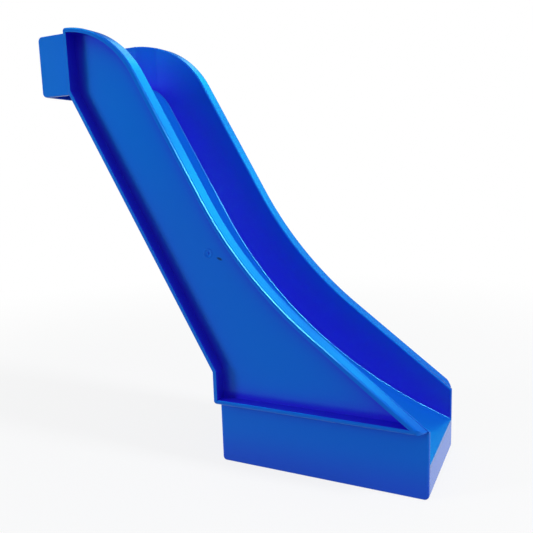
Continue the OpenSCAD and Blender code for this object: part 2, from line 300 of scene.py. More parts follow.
def bed_centre(sizes):
    """Centre of the bed's hollow bend"""
    steep, normal = slope_line(sizes.steep_angle), slope_normal(sizes.steep_angle)
    start = steep_start(sizes) + (sizes.bed_hollow_radius - sizes.chute_depth) * normal
    offset = Vector((FRONT, sizes.bed_front)) - start
    shift = offset.dot(steep) - math.sqrt(sizes.bed_hollow_radius**2 - offset.dot(normal) ** 2)
    return start + shift * steep


def bed_path(sizes):
    """The bed's top from the rear of the hook to just past the front face, as points"""
    centre, steep = bed_centre(sizes), sizes.steep_angle
    start = centre - sizes.bed_hollow_radius * slope_normal(steep)
    corner = crossing(Vector((0, BED_LEVEL)), AHEAD, start, slope_line(steep))
    reach = sizes.bed_crest_radius * math.tan(steep / 2)
    crest = corner - Vector((reach, sizes.bed_crest_radius))
    past_front = math.asin((centre.x - FRONT - 2 * MM) / sizes.bed_hollow_radius)
    stations = arc(crest, sizes.bed_crest_radius, 0, steep, 30)
    stations += arc(centre, sizes.bed_hollow_radius, steep, past_front, 60, hollow=True)
    return [Vector((REAR - MM, BED_LEVEL))] + [station.point for station in stations]


def bed_underside(sizes, x):
    """Height of the bed's underside in its hollow bend"""
    centre = bed_centre(sizes)
    radius = sizes.bed_hollow_radius + sizes.bed_thickness
    return centre.y - math.sqrt(radius**2 - (x - centre.x) ** 2)


def tip_station(sizes):
    """Where the rail line comes down to the top of the base"""
    back = (BASE_TOP - sizes.rail_front) / math.tan(sizes.run_out_angle)
    return Station((FRONT - back, BASE_TOP), mitre(-slope_normal(sizes.run_out_angle), UP))


def top_corner(sizes):
    """Where the upright rear edge meets the rails' top"""
    return rounded_corner(Vector((WEB_REAR, RAIL_TOP)), AHEAD, DOWN, sizes.corner_round)


def rear_joints():
    """The lower and the upper end of the slanted back edge"""
    heel, neck = Vector((HEEL, HEEL_TOP)), Vector((WEB_REAR, SEAT))
    along = (neck - heel).normalized()
    slanted = Vector((along.y, -along.x))
    return Station(heel, mitre(AHEAD, slanted)), Station(neck, mitre(slanted, AHEAD))


# ---- meshes


def placed(name, data):
    """A new object in the scene"""
    item = bpy.data.objects.new(name, data)
    bpy.context.scene.collection.objects.link(item)
    return item


def mesh_of(bm, name):
    mesh = bpy.data.meshes.new(name)
    bm.to_mesh(mesh)
    bm.free()
    return mesh


def shown_mesh(item):
    """The mesh that an object shows once its modifiers are worked out"""
    bpy.context.view_layer.update()
    evaluated = item.evaluated_get(bpy.context.evaluated_depsgraph_get())
    return bpy.data.meshes.new_from_object(evaluated)


def finish_piece(bm, name, material, *nodes):
    """A finished piece from a closed bmesh, which stands for the CAD nodes it names"""
    bmesh.ops.remove_doubles(bm, verts=bm.verts, dist=WELD)
    bmesh.ops.dissolve_degenerate(bm, dist=WELD, edges=bm.edges)
    bmesh.ops.recalc_face_normals(bm, faces=bm.faces)
    mesh = mesh_of(bm, name)
    mesh.shade_smooth()
    mesh.set_sharp_from_angle(angle=SHARP)
    piece = placed(name, mesh)
    normals = piece.modifiers.new("Flat faces", "WEIGHTED_NORMAL")
    normals.keep_sharp = True
    normals.weight = 100
    piece.data = shown_mesh(piece)
    piece.modifiers.clear()
    bpy.data.meshes.remove(mesh)
    piece.data.name = name
    piece.data.materials.clear()
    piece.data.materials.append(material)
    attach(piece, "root")
    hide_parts(*nodes)


def closed_sweep(rings):
    """Skins rings of points and closes both ends"""
    bm = bmesh.new()
    verts = [[bm.verts.new(point) for point in ring] for ring in rings]
    for ring, following in zip(verts, verts[1:]):
        for i, vert in enumerate(ring):
            j = (i + 1) % len(ring)
            bm.faces.new((vert, ring[j], following[j], following[i]))
    bm.faces.new(reversed(verts[0]))
    bm.faces.new(verts[-1])
    return bm


def turned(profile, centre, axis, steps=48):
    """A solid turned about an axis; the profile is (radius, distance along the axis)"""
    turn = Vector((0, 0, 1)).rotation_difference(axis).to_matrix()
    spokes = [2 * math.pi * step / steps for step in range(steps)]
    rings = []
    for radius, along in profile:
        rim = [(radius * math.cos(at), radius * math.sin(at), along) for at in spokes]
        rings.append([centre + turn @ Vector(point) for point in rim])
    return closed_sweep(rings)


def rib_rings(stations, sizes, side, edge):
    """A framing rib's section at each station"""
    steps, thick, high, root = 5, sizes.rib_thickness, RIB_OUT - PLATE_OUT, 0.2 * MM
    section = [
        (0, 0),
        *((into, high - down) for into, down in quarter(sizes.rib_round, steps)),
        *((thick - back, high - down) for down, back in quarter(edge, steps)),
        *((thick + past, up) for past, up in quarter(sizes.rib_fillet, steps)),
        (thick + sizes.rib_fillet, -BURY),
        (root, -BURY),
    ]
    rings = []
    for station in stations:
        points = [(station.inset(depth), PLATE_OUT + height) for depth, height in section]
        rings.append([Vector((at.x, side * y, at.y)) for at, y in points])
    return rings


def cut_plane(bm, at, outward):
    """Cuts away what lies outside a plane and closes the cut"""
    bmesh.ops.bisect_plane(
        bm, geom=bm.verts[:] + bm.edges[:] + bm.faces[:], dist=0.0001 * MM,
        plane_co=at, plane_no=outward, clear_outer=True,
    )
    rim = [edge for edge in bm.edges if edge.is_boundary]
    if rim:
        bmesh.ops.holes_fill(bm, edges=rim)


def cut_front(bm, side):
    """Rounds the ribs off in plan towards the plate at the front"""
    for (x0, out0), (x1, out1) in zip(RIB_END, RIB_END[1:]):
        at = Vector((FRONT + x0 * MM, side * (PLATE_OUT + out0 * MM), 0))
        cut_plane(bm, at, Vector((out1 - out0, side * (x0 - x1), 0)).normalized())


def plate_bmesh(stations, y_in, y_out, side):
    """A side-view plate with rounded rims; stations are (station, outer round, inner round)"""
    steps = 8
    rings = []
    for station, outer, inner in stations:
        ring = [(station.inset(into), y_out - back) for back, into in quarter(outer, steps)]
        ring += [(station.inset(into), y_in + back) for back, into in quarter(inner, steps)[::-1]]
        rings.append([Vector((at.x, side * y, at.y)) for at, y in ring])
    return closed_sweep(list(zip(*rings)))


# ---- node trees


def feed(tree, node, inputs):
    """Gives a node its inputs, each a socket, a node for its first output, or a plain value"""
    for name, value in inputs.items():
        socket = node.inputs[name]
        if isinstance(value, bpy.types.Node):
            value = next(output for output in value.outputs if output.enabled)
        if isinstance(value, bpy.types.NodeSocket):
            tree.links.new(value, socket)
        else:
            socket.default_value = (*value, 1) if socket.type == "RGBA" else value


def add(tree, kind, inputs=None, **settings):
    """A node with its own settings and inputs"""
    node = tree.nodes.new(kind)
    for key, value in settings.items():
        setattr(node, key, value)
    feed(tree, node, inputs or {})
    return node


def maths(tree, operation, *values, kind="ShaderNodeMath"):
    return add(tree, kind, dict(enumerate(values)), operation=operation)


def vector_maths(tree, operation, *values):
    return maths(tree, operation, *values, kind="ShaderNodeVectorMath")


def new_tree(name, inputs):
    """A Geometry Nodes tree with one geometry output, and the sockets of its named inputs"""
    tree = bpy.data.node_groups.new(name, "GeometryNodeTree")
    for label, kind in inputs.items():
        tree.interface.new_socket(label, in_out="INPUT", socket_type=f"NodeSocket{kind}")
    tree.interface.new_socket("Geometry", in_out="OUTPUT", socket_type="NodeSocketGeometry")
    return tree, add(tree, "NodeGroupInput").outputs


BEND = {"Bend X": "Float", "Bend Z": "Float", "Bend Radius": "Float"}
STANDING = {"Places": "Geometry", "Outline": "Object", **BEND, "Material": "Material"}


def under_bed_group():
    """Node group that brings whatever would rise through the bed down to its underside"""
    group, source = new_tree("Under the bed", {"Geometry": "Geometry", **BEND})
    place = add(group, "GeometryNodeInputPosition")
    at = add(group, "ShaderNodeSeparateXYZ", {"Vector": place}).outputs
    across = maths(group, "SUBTRACT", at["X"], source["Bend X"])
    radius = source["Bend Radius"]
    squares = [maths(group, "MULTIPLY", value, value) for value in (radius, across)]
    drop = maths(group, "SQRT", maths(group, "SUBTRACT", *squares))
    underside = maths(group, "SUBTRACT", source["Bend Z"], drop)
    height = maths(group, "MINIMUM", at["Z"], underside)
    lowered = add(group, "ShaderNodeCombineXYZ", {"X": at["X"], "Y": at["Y"], "Z": height})
    inputs = {"Geometry": source["Geometry"], "Position": lowered}
    moved = add(group, "GeometryNodeSetPosition", inputs)
    add(group, "NodeGroupOutput", {"Geometry": moved})
    return group


def swept(tree, path, outline, caps=False):
    """Sweeps an object's outline along a path, kept upright"""
    upright = add(tree, "GeometryNodeSetCurveNormal", {"Curve": path}, mode="Z_UP")
    section = add(tree, "GeometryNodeObjectInfo", {"Object": outline}).outputs["Geometry"]
    inputs = {"Curve": upright, "Profile Curve": section, "Fill Caps": caps}
    return add(tree, "GeometryNodeCurveToMesh", inputs)


def painted(tree, source, shape):
    """Ends a tree with its material and its output"""
    inputs = {"Geometry": shape, "Material": source["Material"]}
    add(tree, "NodeGroupOutput", {"Geometry": add(tree, "GeometryNodeSetMaterial", inputs)})
    return tree


def stand_at_places(tree, source, shape):
    """Stands a shape at each place, trims it under the bed and paints it"""
    inputs = {"Points": source["Places"], "Instance": shape}
    copies = add(tree, "GeometryNodeInstanceOnPoints", inputs)
    inputs = {"Geometry": add(tree, "GeometryNodeRealizeInstances", {"Geometry": copies})}
    inputs.update((label, source[label]) for label in BEND)
    group = bpy.data.node_groups.get("Under the bed") or under_bed_group()
    trimmed = add(tree, "GeometryNodeGroup", inputs, node_tree=group)
    return painted(tree, source, trimmed)


def tube_tree():
    """Clutch tubes: a wall section swept round a circle, once for each place"""
    tree, source = new_tree("Clutch tubes", {**STANDING, "Mean Radius": "Float"})
    inputs = {"Resolution": 72, "Radius": source["Mean Radius"]}
    circle = add(tree, "GeometryNodeCurvePrimitiveCircle", inputs)
    return stand_at_places(tree, source, swept(tree, circle, source["Outline"]))


def grip_tree():
    """Grip ribs: a rounded bar drawn up an upright line, once for each place"""
    sizes = {"Along X": "Float", "Along Y": "Float", "Round": "Float"}
    tree, source = new_tree("Grip ribs", {**STANDING, **sizes})
    inputs = {"Width": source["Along X"], "Height": source["Along Y"]}
    bar = add(tree, "GeometryNodeCurvePrimitiveQuadrilateral", inputs)
    inputs = {"Curve": bar, "Radius": source["Round"], "Count": 3}
    soft = add(tree, "GeometryNodeFilletCurve", inputs, mode="POLY")
    line = add(tree, "GeometryNodeObjectInfo", {"Object": source["Outline"]}).outputs["Geometry"]
    taper = add(tree, "GeometryNodeInputRadius")
    inputs = {"Curve": line, "Profile Curve": soft, "Scale": taper, "Fill Caps": True}
    return stand_at_places(tree, source, add(tree, "GeometryNodeCurveToMesh", inputs))


def band_tree():
    """Sweeps a closed section along a path that lies in the side view"""
    inputs = {"Path": "Geometry", "Outline": "Object", "Material": "Material"}
    tree, source = new_tree("Bed band", inputs)
    band = swept(tree, source["Path"], source["Outline"], caps=True)
    real = add(tree, "GeometryNodeRealizeInstances", {"Geometry": band})
    return painted(tree, source, real)


def grown(tree, holder, outline, inputs):
    """The bmesh that a tree grows from a holder and an outline object, which are used up"""
    modifier = holder.modifiers.new(tree.name, "NODES")
    modifier.node_group = tree
    sockets = {item.name: item for item in tree.interface.items_tree if item.in_out == "INPUT"}
    for label, value in {"Outline": outline, **inputs}.items():
        modifier[sockets[label].identifier] = value
    mesh = shown_mesh(holder)
    bm = bmesh.new()
    bm.from_mesh(mesh)
    bpy.data.meshes.remove(mesh)
    for used in (holder, outline):
        bpy.data.objects.remove(used)
    return bm


def standing(tree, name, places, outline, inputs):
    """The bmesh of what stands at the places"""
    mesh = bpy.data.meshes.new(name)
    mesh.from_pydata(places, [], [])
    return grown(tree, placed(name, mesh), outline, inputs)


def poly_curve(name, points, closed=False, radii=()):
    """A straight-edged curve object"""
    curve = bpy.data.curves.new(name, "CURVE")
    curve.dimensions = "3D"
    spline = curve.splines.new("POLY")
    spline.points.add(len(points) - 1)
    for target, point in zip(spline.points, points):
        target.co = (*point, 1)
    for target, radius in zip(spline.points, radii):
        target.radius = radius
    spline.use_cyclic_u = closed
    return placed(name, curve)


def section_curve(name, section):
    """A closed section, (across, up), laid out as a profile curve needs it"""
    return poly_curve(name, [(across, -up, 0) for across, up in section], closed=True)


def rising_line(name, height):
    """The line that a grip rib is drawn up, drawn in a little at its foot"""
    points = [(0, 0, 0), (0, 0, 0.25 * MM), (0, 0, height)]
    return poly_curve(f"{name} line", points, radii=(0.8, 1, 1))


def band_section(half_width, sizes, fillet):
    """Section of the bed, counter-clockwise: (across, up)"""
    steps, edge, under = 6, half_width + BURY, sizes.rim_round
    low = -sizes.bed_thickness - under
    half = [(edge - under + across, low + up) for up, across in quarter(under, steps)][::-1]
    half += [(edge - across, up) for across, up in quarter(fillet, steps)]
    return half + [(-across, up) for across, up in reversed(half)]


# ---- materials


def ramp(tree, value, low, high, least=0.0, soft=False):
    """A Map Range node from low, which gives least, to high, which gives 1"""
    inputs = {"Value": value, "From Min": low, "From Max": high, "To Min": least}
    kind = "SMOOTHSTEP" if soft else "LINEAR"
    return add(tree, "ShaderNodeMapRange", inputs, interpolation_type=kind)


def mixed(tree, factor, low, high):
    """A colour from low to high, each a socket, a node or three plain numbers"""
    inputs = {"Factor": factor, "A": low, "B": high}
    return add(tree, "ShaderNodeMix", inputs, data_type="RGBA")


def switched(tree, share, low, high):
    """A shader from low, at share 0, to high, at share 1"""
    return add(tree, "ShaderNodeMixShader", {"Fac": share, 1: low, 2: high})


def openness(group, source, place, relief):
    """1 in the open, down to 0 in a place's closed corners, as far as the relief lets it; 0 gives
    the full painted shade
    """
    corners = add(
        group, "ShaderNodeAmbientOcclusion", {"Distance": source[f"{place} Reach"]}, samples=12)
    least, most = source[f"{place} Closed"], source[f"{place} Open"]
    spread = ramp(group, corners.outputs["AO"], least, most, soft=True)
    closed = maths(group, "MULTIPLY", maths(group, "SUBTRACT", 1.0, spread), relief)
    return maths(group, "SUBTRACT", 1.0, closed)


def nick_mask(group, source, place):
    """1 in the old nick, a lens that is turned in the side view, and 0 away from it"""
    away = vector_maths(group, "SUBTRACT", place, source["Nick Place"])
    inputs = {"Vector": away, "Angle": source["Nick Turn"]}
    level = add(group, "ShaderNodeVectorRotate", inputs, rotation_type="Y_AXIS")
    shares = vector_maths(group, "DIVIDE", level, source["Nick Size"])
    return ramp(group, vector_maths(group, "LENGTH", shares), 1.0, 0.35, soft=True)


def plastic_surface():
    """Shader group: slow waves and faint handling marks of a glossy moulding, and how closed in its
    corners are, which sets where painted shade goes
    """
    group = bpy.data.node_groups.new("Moulded surface", "ShaderNodeTree")
    inputs = {
        "Wave Scale": 55.0, "Mark Scale": 900.0, "Roughness": 0.24, "Mark Strength": 0.04,
        "Chute Reach": 0.035, "Chute Closed": 0.46, "Chute Open": 0.76,
        "Side Reach": 0.016, "Side Closed": 0.54, "Side Open": 0.98,
        "Nick Place": (0, 0, 0), "Nick Size": (1, 1, 1), "Nick Turn": 0.0,
    }
    for label, default in inputs.items():
        kind = "NodeSocketVector" if isinstance(default, tuple) else "NodeSocketFloat"
        socket = group.interface.new_socket(label, in_out="INPUT", socket_type=kind)
        socket.default_value = default
    for label in ("Height", "Roughness", "Openness", "Outer Side", "Nick"):
        group.interface.new_socket(label, in_out="OUTPUT", socket_type="NodeSocketFloat")
    source = add(group, "NodeGroupInput").outputs
    place = add(group, "ShaderNodeTexCoord").outputs["Object"]
    facing = add(group, "ShaderNodeNewGeometry").outputs["Normal"]
    at = add(group, "ShaderNodeSeparateXYZ", {"Vector": place}).outputs
    lean = add(group, "ShaderNodeSeparateXYZ", {"Vector": facing}).outputs
    inputs = {"Vector": place, "Scale": source["Wave Scale"], "Detail": 2.0}
    wave = add(group, "ShaderNodeTexNoise", inputs)
    inputs = {"Vector": place, "Scale": source["Mark Scale"], "Detail": 4.0}
    mark = add(group, "ShaderNodeTexNoise", inputs)
    # The chute's painted shade falls only on its upright walls, which stand in the shade, not on
    # the lit bed; the side's painted shade is weaker on the base's sides
    on_walls = ramp(group, maths(group, "ABSOLUTE", lean["Y"]), 0.2, 0.8)
    above_base = ramp(group, at["Z"], BASE_TOP - MM, BASE_TOP, 0.6)
    off_middle = maths(group, "ABSOLUTE", at["Y"])
    outer = ramp(group, off_middle, PLATE_IN + 0.3 * MM, PLATE_OUT - 0.1 * MM)
    chute = openness(group, source, "Chute", on_walls)
    side = openness(group, source, "Side", above_base)
    inputs = {"Factor": outer, "A": chute, "B": side}
    open_ = add(group, "ShaderNodeMix", inputs, data_type="FLOAT")
    marked = maths(group, "MULTIPLY_ADD", mark, source["Mark Strength"], source["Roughness"])
    nick = nick_mask(group, source, place)
    add(group, "NodeGroupOutput", {
        "Height": wave, "Roughness": marked, "Openness": open_, "Outer Side": outer, "Nick": nick,
    })
    return group


def blue_plastic(finish, bed=False):
    """The glossy blue plastic of the whole moulding, or its copy for the bed between the walls,
    whose greener blue is painted light; both carry painted shade where they are closed in
    """
    name = "Blue plastic of the bed" if bed else "Blue plastic"
    material = bpy.data.materials.get(name)
    if material:
        return material
    material = bpy.data.materials.new(name)
    material.use_nodes = True
    tree = material.node_tree
    group = bpy.data.node_groups.get("Moulded surface") or plastic_surface()
    inputs = {"Nick Place": NICK, "Nick Size": NICK_SIZE, "Nick Turn": NICK_TURN}
    inputs["Roughness"] = finish.roughness
    surface = add(tree, "ShaderNodeGroup", inputs, node_tree=group).outputs
    # Painted shade: the deep blues, one for the chute and one for the side frames, darken the
    # plastic where it is closed in
    shade_colour = mixed(tree, surface["Outer Side"], finish.chute_painted_shade, finish.side_painted_shade)
    tint = mixed(tree, surface["Openness"], shade_colour, finish.bed if bed else finish.plastic)
    bump = add(tree, "ShaderNodeBump", {
        "Strength": finish.waviness, "Distance": 0.2 * MM, "Height": surface["Height"],
    })
    feed(tree, tree.nodes["Principled BSDF"], {
        "Base Color": mixed(tree, surface["Nick"], tint, finish.scratch),
        "Roughness": surface["Roughness"], "Normal": bump,
        "IOR": 1.5, "Specular Tint": (0.15, 0.9, 1.0),
    })
    return material


def settings(context):
    """The sizes, and the moulding's material"""
    return context.scene.slide_sizes, blue_plastic(context.scene.slide_finish)


# ---- operators


class TOYSLIDE_OT_side_plates(bpy.types.Operator):
    """Builds the two side plates, each from the rail down to the foot of the base"""

    bl_idname = "toyslide.side_plates"
    bl_label = "Side Plates"

    def execute(self, context):
        sizes, plastic = settings(context)
        lip, tall, foot = sizes.plate_round, sizes.upright_round, sizes.rim_round
        rail_end, falling = Vector((FRONT, sizes.rail_front)), -slope_normal(sizes.run_out_angle)
        tip = rounded_corner(rail_end, falling, BACK, sizes.front_round, 6)
        toe = rounded_corner(Vector((FRONT, 0)), BACK, UP, sizes.foot_round)
        heel = rounded_corner(Vector((HEEL, 0)), UP, AHEAD, sizes.foot_round)
        lip_end, lip_gone = sizes.bed_front + 0.4 * MM, sizes.bed_front - 0.6 * MM
        stations = [
            *((station, 0, lip) for station in top_corner(sizes) + rail_stations(sizes)),
            *eased(tip, 0, tall, lip),
            (Station((FRONT, lip_end), BACK), tall, lip),
            (Station((FRONT, lip_gone), BACK), tall, 0),
            *eased(toe, tall, foot, 0),
            *eased(heel, foot, tall, 0),
            (Station((HEEL, BASE_TOP - 0.1 * MM), AHEAD), tall, 0),
            (Station((HEEL, BASE_TOP), AHEAD), 0, 0),
            *((joint, 0, 0) for joint in rear_joints()),
        ]
        for name, side in SIDES.items():
            bm = plate_bmesh(stations, PLATE_IN, PLATE_OUT, side)
            nodes = f"{name}_side_web", f"base_{name}_wall"
            finish_piece(bm, f"{name}_side_plate", plastic, *nodes)
        return {"FINISHED"}


class TOYSLIDE_OT_framing_ribs(bpy.types.Operator):
    """Builds the five mitred ribs that frame each side plate"""

    bl_idname = "toyslide.framing_ribs"
    bl_label = "Framing Ribs"

    def execute(self, context):
        sizes, plastic = settings(context)
        top = top_corner(sizes)
        heel = rounded_corner(Vector((HEEL, BASE_TOP)), UP, AHEAD, sizes.corner_round)
        middle = len(top) // 2
        heel_joint, neck_joint = rear_joints()
        tip = tip_station(sizes)
        runs = {
            "rail_rim": (top[middle:] + rail_stations(sizes) + [tip], "rail_lip"),
            "bottom_rib": ([tip] + heel[: middle + 1], "foot_rib"),
            "heel_rib": (heel[middle:] + [heel_joint], "back_heel_rib"),
            "diagonal_rib": ([heel_joint, neck_joint], "back_slope_rib"),
            "rear_rib": ([neck_joint] + top[: middle + 1], "back_neck_rib"),
        }
        for name, side in SIDES.items():
            for node, (stations, title) in runs.items():
                edge = sizes.foot_edge if node == "bottom_rib" else sizes.rib_edge
                bm = closed_sweep(rib_rings(stations, sizes, side, edge))
                if node in ("rail_rim", "bottom_rib"):
                    cut_front(bm, side)
                finish_piece(bm, f"{name}_{title}", plastic, f"{name}_{node}")
        return {"FINISHED"}


class TOYSLIDE_OT_chute_bed(bpy.types.Operator):
    """Sweeps the chute bed and the hook's floor along one path"""

    bl_idname = "toyslide.chute_bed"
    bl_label = "Chute Bed"

    def execute(self, context):
        sizes = context.scene.slide_sizes
        plastic = blue_plastic(context.scene.slide_finish, bed=True)
        path = [(point.x, 0, point.y) for point in bed_path(sizes)]
        tree = band_tree()
        runs = (
            ("chute_floor", "chute_bed", PLATE_IN, WEB_REAR, FRONT, sizes.bed_fillet),
            ("hook_deck", "hook_floor", HOOK_IN, REAR, WEB_REAR, sizes.rim_round),
        )
        for title, node, half_width, low, high, fillet in runs:
            section = band_section(half_width, sizes, fillet)
            outline = section_curve(f"{title} section", section)
            bm = grown(tree, poly_curve(title, path), outline, {"Material": plastic})
            bmesh.ops.remove_doubles(bm, verts=bm.verts, dist=WELD)
            cut_plane(bm, Vector((low, 0, 0)), Vector((-1, 0, 0)))
            cut_plane(bm, Vector((high, 0, 0)), Vector((1, 0, 0)))
            if node == "chute_bed":
                self.round_lip(bm, sizes)
            finish_piece(bm, title, plastic, node)
        return {"FINISHED"}

    def round_lip(self, bm, sizes):
        """Rounds the upper edge of the bed's front face"""
        low = sizes.bed_front - 0.1 * MM
        front = {vert for vert in bm.verts if abs(vert.co.x - FRONT) < NEAR and vert.co.z > low}
        lip = [
            edge for edge in bm.edges
            if front.issuperset(edge.verts)
            and abs(edge.verts[0].co.y - edge.verts[1].co.y) > NEAR
        ]
        bmesh.ops.bevel(
            bm, geom=lip, offset=sizes.bed_lip, offset_type="OFFSET", segments=4,
            profile=0.5, affect="EDGES", clamp_overlap=True,
        )


class TOYSLIDE_OT_end_walls(bpy.types.Operator):
    """Builds the end walls of the base and of the hook with their rounded feet"""

    bl_idname = "toyslide.end_walls"
    bl_label = "End Walls"

    def execute(self, context):
        sizes, plastic = settings(context)
        thick, rim, round_ = sizes.wall_thickness, sizes.rim_round, sizes.foot_round
        front_tops = [bed_underside(sizes, x) + BURY for x in (FRONT, FRONT - thick)]
        seat_tops = [HOOK_UNDERSIDE + BURY] * 2
        walls = (
            ("base_front_panel", "base_front_wall", FRONT, -1, 0, front_tops, round_),
            ("base_rear_panel", "base_rear_wall", HEEL, 1, 0, [BASE_TOP] * 2, round_),
            ("hook_rear_panel", "hook_rear_wall", REAR, 1, SEAT, seat_tops, sizes.corner_round),
            ("hook_front_panel", "hook_front_wall", WEB_REAR, -1, SEAT, seat_tops, rim),
        )
        for title, node, outer, inwards, low, (outer_top, inner_top), foot in walls:
            inner = outer + inwards * thick
            outer_foot, inner_foot = quarter(foot, 8), quarter(min(rim, thick - foot), 4)
            points = [
                (outer, outer_top),
                *((outer + inwards * into, low + up) for into, up in outer_foot),
                *((inner - inwards * into, low + up) for up, into in inner_foot),
                (inner, inner_top),
            ]
            edge = (PLATE_IN if node.startswith("base") else HOOK_IN) + BURY
            rings = [[Vector((x, y, z)) for x, z in points] for y in (-edge, edge)]
            finish_piece(closed_sweep(rings), title, plastic, node)
        return {"FINISHED"}


class TOYSLIDE_OT_clutch(bpy.types.Operator):
    """Stands the clutch tubes, the grip ribs and the hook's pin under the slide"""

    bl_idname = "toyslide.clutch"
    bl_label = "Tubes and Grip Ribs"

    def execute(self, context):
        sizes, plastic = settings(context)
        centre = bed_centre(sizes)
        under_bed = {
            "Bend X": centre.x,
            "Bend Z": centre.y + BURY,
            "Bend Radius": sizes.bed_hollow_radius + sizes.bed_thickness,
            "Material": plastic,
        }
        self.tubes(sizes, under_bed)
        grips = {**under_bed, "Round": sizes.grip_round}
        self.base_grips(sizes, grips)
        # The hook's ribs stay whole: their bend is a point, high out of reach
        self.hook_grips(sizes, {**grips, "Bend Z": 2 * RAIL_TOP, "Bend Radius": 0.0})
        self.pin(sizes, plastic)
        return {"FINISHED"}

    def tubes(self, sizes, inputs):
        names = ("front_clutch_tube", "middle_clutch_tube", "rear_clutch_tube")
        half, high = sizes.tube_thickness / 2, DECK_UNDERSIDE + BURY
        foot = [(half - across, up) for across, up in quarter(sizes.rim_round, 4)]
        section = [(half, high), *foot]
        section += [(-across, up) for across, up in reversed(section)]
        outline = section_curve("tube wall", section)
        outer = (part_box(names[1])[1].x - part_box(names[1])[0].x) / 2
        places = [((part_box(name)[0].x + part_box(name)[1].x) / 2, 0, 0) for name in names]
        inputs = {**inputs, "Mean Radius": outer - half}
        bm = standing(tube_tree(), "clutch_tubes", places, outline, inputs)
        finish_piece(bm, "clutch_tubes", inputs["Material"], *names)

    def bars(self, title, places, along_x, along_y, top, inputs):
        """The bmesh of grip ribs of one size, from their places up into what is above them"""
        tree = bpy.data.node_groups.get("Grip ribs") or grip_tree()
        line = rising_line(title, top + BURY - places[0][2])
        inputs = {**inputs, "Along X": along_x, "Along Y": along_y}
        return standing(tree, title, places, line, inputs)

    def base_grips(self, sizes, inputs):
        thin, grips = sizes.grip_thickness, {}
        for name, side in SIDES.items():
            low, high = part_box(f"{name}_grip_ribs")
            reach = high.y - low.y + BURY
            y = side * (PLATE_IN + BURY - reach / 2)
            places = [(x * MM + FRONT, y, low.z) for x in SIDE_RIBS]
            grips[name] = places, thin, reach
        for name in ("front", "rear"):
            low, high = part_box(f"{name}_grip_ribs")
            places = [((low.x + high.x) / 2, side * STUD_ROW, low.z) for side in (-1, 1)]
            grips[name] = places, high.x - low.x + BURY, thin
        for name, (places, along_x, along_y) in grips.items():
            bm = self.bars(f"{name}_grips", places, along_x, along_y, DECK_UNDERSIDE, inputs)
            finish_piece(bm, f"{name}_grips", inputs["Material"], f"{name}_grip_ribs")

    def hook_grips(self, sizes, inputs):
        thin = sizes.grip_thickness
        low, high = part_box("hook_grip_ribs")
        middle = (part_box("hook_clutch_pin")[0].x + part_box("hook_clutch_pin")[1].x) / 2
        rear, front, beside = 1.8 * MM, 2 * MM, 1.8 * MM
        groups = (
            (rear, thin, low.x + rear / 2, STUD_ROW),
            (front, thin, high.x - front / 2, STUD_ROW),
            (thin, beside, middle, HOOK_IN - beside / 2 + BURY),
        )
        whole = bmesh.new()
        for along_x, along_y, x, y in groups:
            places = [(x, side * y, low.z) for side in (-1, 1)]
            along_x += BURY
            bm = self.bars("hook_grips", places, along_x, along_y, HOOK_UNDERSIDE, inputs)
            mesh = mesh_of(bm, "Hook grip part")
            whole.from_mesh(mesh)
            bpy.data.meshes.remove(mesh)
        finish_piece(whole, "hook_grips", inputs["Material"], "hook_grip_ribs")

    def pin(self, sizes, plastic):
        low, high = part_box("hook_clutch_pin")
        radius = (high.y - low.y) / 2
        profile = [
            (radius * 0.02, 0),
            *((radius - into, up) for up, into in quarter(sizes.rim_round, 5)),
            (radius, HOOK_UNDERSIDE + BURY - SEAT),
        ]
        foot = Vector(((low.x + high.x) / 2, 0, SEAT))
        bm = turned(profile, foot, Vector((0, 0, 1)))
        finish_piece(bm, "hook_pin", plastic, "hook_clutch_pin")


class TOYSLIDE_OT_neck_blends(bpy.types.Operator):
    """Builds the wedges by which the hook's cheeks widen into the chute's sides"""

    bl_idname = "toyslide.neck_blends"
    bl_label = "Neck Blends"

    def execute(self, context):
        sizes, plastic = settings(context)
        radius, lip, count = sizes.crest_radius, quarter(sizes.plate_round, 5), 14
        start, inside, low = WEB_REAR - 0.3 * MM, PLATE_IN + 0.6 * MM, SEAT + SKIN
        for name, side in SIDES.items():
            rings = []
            for step in range(count + 1):
                share = step / count
                x = start + share * sizes.blend_length
                ease = share * share * (3 - 2 * share)
                inner = HOOK_IN + (PLATE_IN + SKIN - HOOK_IN) * ease
                drop = radius - math.sqrt(radius**2 - max(0, x - WEB_REAR) ** 2)
                top = RAIL_TOP - drop - SKIN
                ring = [
                    (inner, low),
                    *((inner + across, top - down) for across, down in lip),
                    (inside, top),
                    (inside, low),
                ]
                rings.append([Vector((x, side * y, z)) for y, z in ring])
            bm = closed_sweep(rings)
            finish_piece(bm, f"{name}_neck_blend", plastic, f"{name}_hook_jamb")
        return {"FINISHED"}


class TOYSLIDE_OT_gate_mark(bpy.types.Operator):
    """Turns the small gate mark in the right side plate"""

    bl_idname = "toyslide.gate_mark"
    bl_label = "Gate Mark"

    def execute(self, context):
        profile = [(radius * MM, along * MM) for radius, along in GATE_PROFILE]
        bm = turned(profile, GATE, Vector((0, -1, 0)), 32)
        finish_piece(bm, "gate_mark", settings(context)[1])
        return {"FINISHED"}


class TOYSLIDE_OT_hook_cheeks(bpy.types.Operator):
    """Builds the two flat cheeks of the hook"""

    bl_idname = "toyslide.hook_cheeks"
    bl_label = "Hook Cheeks"

    def execute(self, context):
        sizes, plastic = settings(context)
        rim, front = sizes.rim_round, WEB_REAR + BURY
        outline = [
            *rounded_corner(Vector((REAR, RAIL_TOP)), AHEAD, DOWN, sizes.hook_round),
            Station((front, RAIL_TOP), mitre(DOWN, BACK)),
            Station((front, SEAT), mitre(BACK, UP)),
            *rounded_corner(Vector((REAR, SEAT)), UP, AHEAD, sizes.hook_round),
        ]
        stations = [(station, rim, rim) for station in outline]
        for name, side in SIDES.items():
            bm = plate_bmesh(stations, HOOK_IN, HOOK_OUT, side)
            finish_piece(bm, f"{name}_hook_side", plastic, f"hook_{name}_cheek")
        return {"FINISHED"}


